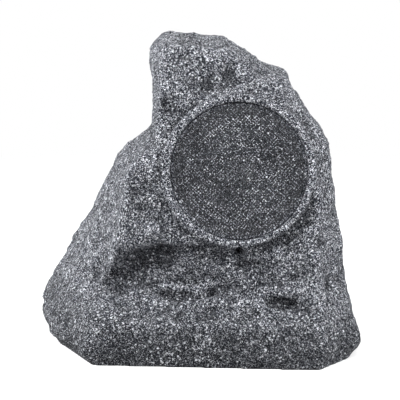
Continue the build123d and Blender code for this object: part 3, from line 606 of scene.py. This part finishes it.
grille = {
    "radius": 77.8 * mm,
    "front": -4.0 * mm,
    "depth": 18.0 * mm,
    "sheet": 1.1 * mm,
    "sink": 0.1 * mm,  # sheet below the hem's face
    "pitch": 2.9 * mm,
    "hole": 1.16 * mm,
    "holeSides": 8,
    "turn": 42.0,
    "hem": 2.6 * mm,
    "skirt": 1.2 * mm,
    "skirtSides": 128,
    "bevel": (0.9 * mm, 0.8 * mm),  # width and drop of the hem's outer edge
    # blotches of the paint, and painted shade at the rim, where the grille sits in its recess
    "blotches": 24.0,
    "blotchShade": [(0.32, (0.55, 0.55, 0.56)), (0.62, 0.98)],
    "rimShadeReach": 100 * mm,
    "rimShadeRagged": (40.0, 0.12),
    "rimShadeStops": [(0.62, 1.0), (0.84, (0.62, 0.62, 0.64))],
    "grit": 1400.0,
    "bump": (0.3, 0.4 * mm),
    "roughness": (0.5, 0.25, 900.0),
}


def grilleFinish():
    paint = Finish("speckledGrille", {"Specular IOR Level": 0.2})
    place = paint.place()
    blotches = paint.noise(place, grille["blotches"], 3.0, 0.6)
    shade = paint.ramp(blotches, grille["blotchShade"])
    # painted shade, darker towards the grille's rim in its recess, with a ragged edge
    sockets = {0: place, 1: tuple(baffle["centre"])}
    away = paint.node("ShaderNodeVectorMath", {"operation": "DISTANCE"}, sockets, "Value")
    raggedSize, raggedReach = grille["rimShadeRagged"]
    away = away * (1 / grille["rimShadeReach"]) + raggedReach * paint.noise(place, raggedSize)
    shade = paint.shaded(shade, paint.ramp(away, grille["rimShadeStops"]))
    paint.feed("Base Color", graniteSpeckle(paint, place, granite["chipShare"] / 2, shade)[0])
    paint.roughen(place, *grille["roughness"])
    paint.bump(paint.noise(place, grille["grit"]), *grille["bump"])
    return paint.material


def makeSheet():
    pitch, reach = grille["pitch"], grille["radius"] - grille["skirt"]
    rows = 2 * int(reach / pitch) + 3
    bpy.ops.object.select_all(action="DESELECT")
    bpy.ops.mesh.primitive_circle_add(
        vertices=grille["holeSides"], radius=grille["hole"], fill_type="NOTHING")
    sheet = bpy.context.object
    sheet.name = "perforatedGrille"
    editAll(sheet)
    bpy.ops.mesh.extrude_edges_move()
    endEdit()
    # the outer edge of one cell goes out to its square
    points = readPoints(sheet.data)
    outer = np.array([vertex.select for vertex in sheet.data.vertices])
    points[outer, :2] *= (pitch / 2 / np.abs(points[outer, :2]).max(1))[:, None]
    writePoints(sheet.data, points)
    for offset in ((pitch, 0, 0), (0, pitch, 0)):
        applyModifier(sheet, "ARRAY", count=rows, use_relative_offset=False, use_constant_offset=True,
                      constant_offset_displace=offset)
    points = readPoints(sheet.data)
    points -= (points.min(0) + points.max(0)) / 2
    writePoints(sheet.data, points)
    # the lattice is cut round, under the hem
    editFaces(sheet, lambda face: face.center.length > reach - grille["hem"] / 2)
    bpy.ops.mesh.delete(type="FACE")
    bpy.ops.mesh.select_all(action="SELECT")
    bpy.ops.mesh.remove_doubles(threshold=0.02 * mm)
    bpy.ops.mesh.normals_make_consistent(inside=False)
    bpy.ops.transform.rotate(value=math.radians(grille["turn"]), orient_axis="Z", center_override=(0, 0, 0))
    bpy.ops.transform.translate(value=(0, 0, grille["front"] - grille["sink"]))
    endEdit()
    if sheet.data.polygons[0].normal.z < 0:
        editAll(sheet)
        bpy.ops.mesh.flip_normals()
        endEdit()
    applyModifier(sheet, "SOLIDIFY", thickness=grille["sheet"], offset=-1)
    return sheet


def makeHem():
    # hem and skirt around the sheet
    bevelWidth, bevelDrop = grille["bevel"]
    bpy.ops.object.select_all(action="DESELECT")
    bpy.ops.mesh.primitive_cylinder_add(
        vertices=grille["skirtSides"], radius=grille["radius"], depth=grille["depth"],
        location=(0, 0, grille["front"] - grille["depth"] / 2))
    hem = bpy.context.object
    bpy.ops.object.transform_apply(location=True, rotation=True, scale=True)
    editFaces(hem, lambda face: face.normal.z < -0.9)
    bpy.ops.mesh.delete(type="FACE")
    endEdit()
    editFaces(hem, lambda face: face.normal.z > 0.9)
    bpy.ops.mesh.inset(thickness=bevelWidth)
    bpy.ops.mesh.inset(thickness=grille["hem"])
    bpy.ops.mesh.delete(type="FACE")
    endEdit()
    points = readPoints(hem.data)
    atEdge = np.hypot(points[:, 0], points[:, 1]) > grille["radius"] - bevelWidth / 2
    rim = atEdge & (points[:, 2] > grille["front"] - mm)
    points[rim, 2] -= bevelDrop
    writePoints(hem.data, points)
    applyModifier(hem, "SOLIDIFY", thickness=grille["skirt"], offset=-1)
    return hem


def makeGrille():
    sheet, hem = makeSheet(), makeHem()
    makeActive(sheet)
    hem.select_set(True)
    bpy.ops.object.join()
    sheet.rotation_euler = (math.pi / 2 - lean, 0, 0)
    sheet.location = baffle["centre"]
    bpy.ops.object.transform_apply(location=True, rotation=True, scale=True)
    bpy.ops.object.shade_smooth_by_angle(angle=math.radians(30))
    dress(sheet, grilleFinish())
    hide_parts("grille")
    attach(sheet, "enclosure")
    print("grille perforated,", len(sheet.data.polygons), "faces")


# flexing rings of the driver, which lie between the cone and the frame, cut in sectors

flexing = {
    "sectors": 12,
    "woofer_surround": {"inner": 53.0 * mm, "outer": 61.0 * mm, "slot": "surround_rubber"},
    "spider": {"inner": 17.2 * mm, "outer": 35.5 * mm, "slot": "spider_cloth"},
}


def makeFlexing(node):
    ring = flexing[node]
    material = drawnFinish(ring["slot"])
    half = math.pi / flexing["sectors"]
    for sector in range(flexing["sectors"]):
        middle = 2 * half * sector
        piece = copyNode(node, "%s%02d" % (node.replace("_", ""), sector))
        for side in (-1, 1):
            edge = middle + side * half
            normal = (rightward * -math.sin(edge) + upward * math.cos(edge)) * side
            editAll(piece)
            bpy.ops.mesh.bisect(plane_co=baffle["centre"], plane_no=normal, clear_outer=True, use_fill=True)
            endEdit()
        makeActive(piece)
        bpy.ops.object.shade_smooth_by_angle(angle=math.radians(35))
        dress(piece, material)
        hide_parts(node)
        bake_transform(piece)
    print(node, "cut in", flexing["sectors"], "sectors")


# finishes of the drawn parts, by the record's material slots:
# kind, colour, roughness, and the size and depth of the grain

finishes = {
    "base_plastic": ("moulded", (0.045, 0.046, 0.050), 0.58, 900, 0.3),
    "seal_rubber": ("moulded", (0.022, 0.022, 0.023), 0.8, 1400, 0.4),
    "zinc_steel": ("metal", (0.60, 0.61, 0.63), 0.34, 500, 0.15),
    "frame_paint": ("moulded", (0.024, 0.024, 0.026), 0.48, 1100, 0.35),
    "cone_poly": ("moulded", (0.040, 0.040, 0.044), 0.42, 350, 0.2),
    "surround_rubber": ("moulded", (0.018, 0.018, 0.019), 0.55, 1600, 0.2),
    "former_film": ("moulded", (0.48, 0.25, 0.08), 0.3, 700, 0.1),
    "copper_wire": ("turns", (0.62, 0.27, 0.13), 0.32, 420, 0.8),
    "spider_cloth": ("cloth", (0.52, 0.38, 0.19), 0.85, 900, 0.6),
    "motor_steel": ("metal", (0.50, 0.50, 0.50), 0.38, 380, 0.2),
    "ferrite": ("stone", (0.055, 0.055, 0.060), 0.66, 650, 0.4),
    "strip_board": ("stone", (0.24, 0.13, 0.06), 0.6, 800, 0.25),
    "tin": ("metal", (0.70, 0.69, 0.66), 0.36, 900, 0.2),
    "tweeter_plastic": ("moulded", (0.035, 0.035, 0.037), 0.52, 1000, 0.25),
    "dome_silk": ("cloth", (0.07, 0.07, 0.078), 0.6, 1500, 0.4),
    "board_green": ("stone", (0.03, 0.17, 0.07), 0.36, 420, 0.1),
    "bobbin_plastic": ("moulded", (0.66, 0.64, 0.57), 0.5, 800, 0.15),
    "can_sleeve": ("moulded", (0.022, 0.034, 0.11), 0.33, 500, 0.1),
    "ceramic": ("stone", (0.72, 0.70, 0.64), 0.8, 900, 0.4),
    "block_plastic": ("moulded", (0.04, 0.27, 0.10), 0.4, 900, 0.15),
    "terminal_plastic": ("moulded", (0.032, 0.032, 0.034), 0.5, 1000, 0.35),
    "stud_brass": ("metal", (0.72, 0.52, 0.24), 0.3, 700, 0.15),
    "red_plastic": ("moulded", (0.50, 0.018, 0.018), 0.36, 900, 0.15),
    "black_plastic": ("moulded", (0.024, 0.024, 0.024), 0.36, 900, 0.15),
    "lead_jacket": ("moulded", (0.06, 0.06, 0.065), 0.42, 1200, 0.15),
}
# darkest and lightest tone of each kind's pattern, as shares of its colour
tones = {
    "moulded": (0.8, 1.2),
    "stone": (0.72, 1.3),
    "metal": (0.86, 1.1),
    "turns": (0.45, 1.15),
    "cloth": (0.6, 1.15),
}
otherSlots = {"woofer_screws": "frame_paint"}  # black screws, which don't shine through the grille


def drawnFinish(slot):
    kind, colour, rough, grain, depth = finishes[slot]
    paint = Finish(slot, {"Metallic": 1.0 if kind in ("metal", "turns") else 0.0})
    place = paint.place()
    cloud = paint.noise(place, grain / 14, 4.0)  # broad clouds in the finish
    if kind == "moulded":
        pattern, height = cloud, paint.noise(place, grain, 3.0)
    elif kind == "stone":
        pattern, height = paint.channel(paint.cells(place, grain), "Red"), paint.noise(place, grain, 3.0)
    elif kind == "metal":
        pattern = height = paint.noise(paint.stretch(place, (1, 1, 14)), grain, 3.0)
    elif kind == "turns":
        pattern = height = paint.wave(place, grain, "Z", Distortion=0.4, Detail=1.0)
    else:
        pattern = height = paint.wave(place, grain, "X") * 0.5 + paint.wave(place, grain, "Z") * 0.5
    low, high = (tuple(min(1.0, part * tone) for part in colour) for tone in tones[kind])
    paint.feed("Base Color", paint.ramp(pattern, [(0.25, low), (0.75, high)]))
    paint.feed("Roughness", rough - 0.08 + 0.16 * cloud)
    paint.bump(height, depth, 0.3 * mm)
    return paint.material


def dressNodes(replaced):
    made = {}
    for part in frame["record"]["subparts"]:
        node = part["node"]
        if node in replaced:
            continue
        slot = otherSlots.get(node, part["material_slot"])
        made[slot] = made.get(slot) or drawnFinish(slot)
        for holder in nodes[node].material_slots:
            holder.material = made[slot]
    print("drawn parts dressed in", len(made), "finishes")


# floor, backdrop and lamps

studio = {
    "floorSize": 14,
    "floor": 0.82,
    "bounce": 0.22,
    "glow": 0.42,
    "whiteFrom": 0.55,
    "whiteAt": 1.1,
    "ambient": 0.25,
    "aim": (0, 0, 0.18),
    "lamps": {
        "left": {"place": (-1.5, -0.75, 1.5), "size": 0.9, "power": 28.5},
        "leftLow": {"place": (-1.8, -0.2, 0.7), "size": 1.0, "power": 26.0},
        "right": {"place": (1.7, -0.5, 1.0), "size": 1.2, "power": 21.5},
        "rightLow": {"place": (1.7, -0.9, 0.5), "size": 1.0, "power": 13.0},
        "front": {"place": (0.4, -2.2, 1.4), "size": 1.6, "power": 8.5},
        "frontTop": {"place": (0.0, -1.2, 2.0), "size": 1.2, "power": 16.0},
        "back": {"place": (0.3, 1.8, 1.2), "size": 1.4, "power": 16.0},
    },
}


def whiteForViewer(graph, plain, lit):
    # the viewer, mirrors and glass see a white backdrop, the lamps do the lighting
    camera, glossy, through = (graph.node("ShaderNodeLightPath", None, None, ray) for ray in
                               ("Is Camera Ray", "Is Glossy Ray", "Is Transmission Ray"))
    seen = graph.maths("MAXIMUM", graph.maths("MAXIMUM", camera, glossy), through)
    return graph.node("ShaderNodeMixShader", None, {0: seen, 1: plain, 2: lit})


def makeFloor():
    bpy.ops.object.select_all(action="DESELECT")
    bpy.ops.mesh.primitive_plane_add(size=studio["floorSize"])
    floor = bpy.context.object
    floor.name = "paleFloor"
    paint = Finish("paleFloor", {"Roughness": 0.9, "Specular IOR Level": 0.1})
    place = paint.place()
    level, dim = studio["floor"], studio["bounce"]
    paint.feed("Base Color", paint.ramp(paint.noise(place, 40.0), [(0.3, level * 0.99), (0.7, level)]))
    matt = Signal(paint, paint.surface.outputs[0])
    glow = paint.node("ShaderNodeEmission", None, {"Strength": studio["glow"]})
    white = paint.node("ShaderNodeEmission", None, {"Strength": 1.0})
    bounce = paint.node("ShaderNodeBsdfDiffuse", None, {"Color": (dim, dim, dim, 1)})
    bright = paint.node("ShaderNodeAddShader", None, {0: matt, 1: glow})
    # pure white away from the rock and its shadow
    reach = paint.node("ShaderNodeVectorMath", {"operation": "LENGTH"}, {0: place}, "Value")
    far = paint.node("ShaderNodeMapRange", {"interpolation_type": "SMOOTHSTEP"},
                     {"Value": reach, "From Min": studio["whiteFrom"], "From Max": studio["whiteAt"]})
    backdrop = paint.node("ShaderNodeMixShader", None, {0: far, 1: bright, 2: white})
    ends = paint.tree.nodes["Material Output"]
    paint.tree.links.new(whiteForViewer(paint, bounce, backdrop).socket, ends.inputs["Surface"])
    floor.data.materials.append(paint.material)


def makeWorld():
    world = bpy.data.worlds.new("studio")
    scene.world = world
    world.use_nodes = True
    world.node_tree.nodes.clear()
    graph = Graph(world.node_tree)
    soft, white = (graph.node("ShaderNodeBackground", None, {"Color": (1, 1, 1, 1), "Strength": strength})
                   for strength in (studio["ambient"], 1.0))
    ends = world.node_tree.nodes.new("ShaderNodeOutputWorld")
    world.node_tree.links.new(whiteForViewer(graph, soft, white).socket, ends.inputs["Surface"])


def makeLamps():
    for name, lamp in studio["lamps"].items():
        bpy.ops.object.light_add(type="AREA", location=lamp["place"])
        light = bpy.context.object
        light.name = name + "Lamp"
        light.data.energy = lamp["power"]
        light.data.size = lamp["size"]
        pointAt(light, lamp["place"], studio["aim"])
    print("studio lit")


setCamera()
makeFloor()
makeWorld()
makeLamps()
makeRock()
makeGrille()
makeFlexing("woofer_surround")
makeFlexing("spider")
dressNodes({"rock_shell", "grille", "woofer_surround", "spider"})
